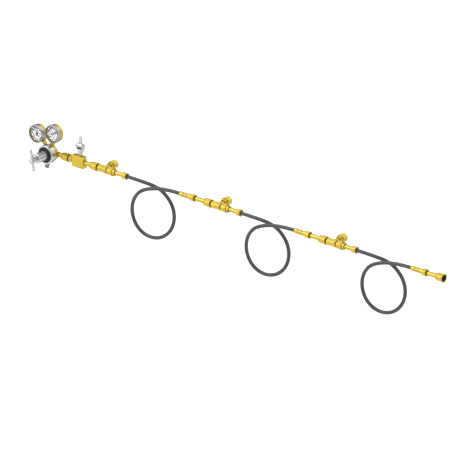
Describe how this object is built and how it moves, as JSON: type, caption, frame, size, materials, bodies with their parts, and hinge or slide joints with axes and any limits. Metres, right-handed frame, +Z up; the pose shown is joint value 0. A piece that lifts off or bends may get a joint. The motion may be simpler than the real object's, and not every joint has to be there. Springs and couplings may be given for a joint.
{
  "type": "breathing air cascade manifold",
  "caption": "Brass breathing air cascade manifold with a two-gauge regulator, a toggle valve and tees in line, joined by looped black hoses and union nuts.",
  "frame": {"origin": "on the axis of the first tee's cylinder nut, at the outer end of its thread", "axes": "+X along the line from the regulator to the last hose, +Y out of the cylinder nuts towards the cylinders, +Z up; the bonnet and the gauge faces look along -Y"},
  "size_m": [1.8061, 0.173, 0.3153],
  "materials": {
    "brass": "bright turned brass, golden yellow",
    "silver": "bright nickel plate",
    "grey_steel": "plain grey steel",
    "spring_steel": "spring wire",
    "black_ring": "black filler ring",
    "hose_rubber": "smooth dark hose cover",
    "diaphragm_rubber": "moulded rubber",
    "gauge_bezel": "plated bezel",
    "dial_white": "white dial with a printed scale",
    "gauge_window": "clear window",
    "pointer_black": "black pointer"
  },
  "bodies": {
    "line": {"bonnet": "silver", "bonnet_ring": "black_ring", "branch_nipple_1": "brass", "branch_nipple_2": "brass", "branch_nipple_3": "brass", "diaphragm": "diaphragm_rubber", "hose_1": "hose_rubber", "hose_1_crimp_sleeve": "brass", "hose_1_inlet_ferrule": "brass", "hose_1_inlet_nipple": "brass", "hose_1_outlet_stem": "brass", "hose_2": "hose_rubber", "hose_2_crimp_sleeve": "brass", "hose_2_inlet_ferrule": "brass", "hose_2_inlet_nipple": "brass", "hose_2_outlet_stem": "brass", "hose_3": "hose_rubber", "hose_3_crimp_sleeve": "brass", "hose_3_inlet_ferrule": "brass", "hose_3_inlet_nipple": "brass", "hose_3_outlet_stem": "brass", "left_gauge_bezel": "gauge_bezel", "left_gauge_case": "brass", "left_gauge_dial": "dial_white", "left_gauge_lens": "gauge_window", "outlet_coupling": "grey_steel", "range_spring": "spring_steel", "regulator_body": "brass", "regulator_inlet_nipple": "brass", "right_gauge_bezel": "gauge_bezel", "right_gauge_case": "brass", "right_gauge_dial": "dial_white", "right_gauge_lens": "gauge_window", "tee_1": "brass", "tee_2": "brass", "tee_3": "brass", "toggle_bonnet": "silver", "toggle_pin": "grey_steel", "valve_block": "brass", "valve_inlet_adapter": "brass", "valve_outlet_nipple": "brass"},
    "button": {"spring_button": "grey_steel"},
    "screw": {"adjusting_screw": "silver", "t_bar": "silver"},
    "left_needle": {"left_gauge_pointer": "pointer_black"},
    "right_needle": {"right_gauge_pointer": "pointer_black"},
    "lever": {"toggle_lever": "silver"},
    "regulator_inlet_nut_body": {"regulator_inlet_nut": "brass"},
    "valve_outlet_nut_body": {"valve_outlet_nut": "brass"},
    "branch_nut_1_body": {"branch_nut_1": "brass"},
    "hose_1_inlet_nut_body": {"hose_1_inlet_nut": "brass"},
    "hose_1_outlet_nut_body": {"hose_1_outlet_nut": "brass"},
    "branch_nut_2_body": {"branch_nut_2": "brass"},
    "hose_2_inlet_nut_body": {"hose_2_inlet_nut": "brass"},
    "hose_2_outlet_nut_body": {"hose_2_outlet_nut": "brass"},
    "branch_nut_3_body": {"branch_nut_3": "brass"},
    "hose_3_inlet_nut_body": {"hose_3_inlet_nut": "brass"},
    "hose_3_outlet_nut_body": {"hose_3_outlet_nut": "brass"}
  },
  "joints": [
    {"name": "spring_button_slide", "type": "slide", "parent": "line", "child": "button", "axis": [0, 1, 0], "range_m": [-0.002, 0.005], "deforming": ["range_spring"]},
    {"name": "adjusting_screw_turn", "type": "hinge", "parent": "button", "child": "screw", "pos_m": [-0.2345, -0.15, 0], "axis": [0, 1, 0], "range_deg": [-361, 901]},
    {"name": "left_gauge_pointer_turn", "type": "hinge", "parent": "line", "child": "left_needle", "pos_m": [-0.27947, -0.085, 0.06422], "axis": [0, 1, 0], "range_deg": [-135, 135]},
    {"name": "right_gauge_pointer_turn", "type": "hinge", "parent": "line", "child": "right_needle", "pos_m": [-0.20637, -0.085, 0.08169], "axis": [0, 1, 0], "range_deg": [-189, 81]},
    {"name": "toggle_swing", "type": "hinge", "parent": "line", "child": "lever", "pos_m": [-0.1025, -0.062, 0.059], "axis": [1, 0, 0], "range_deg": [0, 90]},
    {"name": "regulator_inlet_nut_spin", "type": "hinge", "parent": "line", "child": "regulator_inlet_nut_body", "pos_m": [-0.17, -0.062, 0], "axis": [1, 0, 0], "continuous": true},
    {"name": "valve_outlet_nut_spin", "type": "hinge", "parent": "line", "child": "valve_outlet_nut_body", "pos_m": [-0.04, -0.062, 0], "axis": [1, 0, 0], "continuous": true},
    {"name": "branch_nut_1_spin", "type": "hinge", "parent": "line", "child": "branch_nut_1_body", "pos_m": [0, -0.016, 0], "axis": [0, 1, 0], "continuous": true},
    {"name": "hose_1_inlet_nut_spin", "type": "hinge", "parent": "line", "child": "hose_1_inlet_nut_body", "pos_m": [0.04, -0.062, 0], "axis": [1, 0, 0], "continuous": true},
    {"name": "hose_1_outlet_nut_spin", "type": "hinge", "parent": "line", "child": "hose_1_outlet_nut_body", "pos_m": [0.466, -0.062, 0], "axis": [1, 0, 0], "continuous": true},
    {"name": "branch_nut_2_spin", "type": "hinge", "parent": "line", "child": "branch_nut_2_body", "pos_m": [0.506, -0.016, 0], "axis": [0, 1, 0], "continuous": true},
    {"name": "hose_2_inlet_nut_spin", "type": "hinge", "parent": "line", "child": "hose_2_inlet_nut_body", "pos_m": [0.546, -0.062, 0], "axis": [1, 0, 0], "continuous": true},
    {"name": "hose_2_outlet_nut_spin", "type": "hinge", "parent": "line", "child": "hose_2_outlet_nut_body", "pos_m": [0.972, -0.062, 0], "axis": [1, 0, 0], "continuous": true},
    {"name": "branch_nut_3_spin", "type": "hinge", "parent": "line", "child": "branch_nut_3_body", "pos_m": [1.012, -0.016, 0], "axis": [0, 1, 0], "continuous": true},
    {"name": "hose_3_inlet_nut_spin", "type": "hinge", "parent": "line", "child": "hose_3_inlet_nut_body", "pos_m": [1.052, -0.062, 0], "axis": [1, 0, 0], "continuous": true},
    {"name": "hose_3_outlet_nut_spin", "type": "hinge", "parent": "line", "child": "hose_3_outlet_nut_body", "pos_m": [1.478, -0.062, 0], "axis": [1, 0, 0], "continuous": true}
  ],
  "couplings": [
    {"joint": "adjusting_screw_turn", "follows": "spring_button_slide", "rad_per_m": 3141.6}
  ]
}
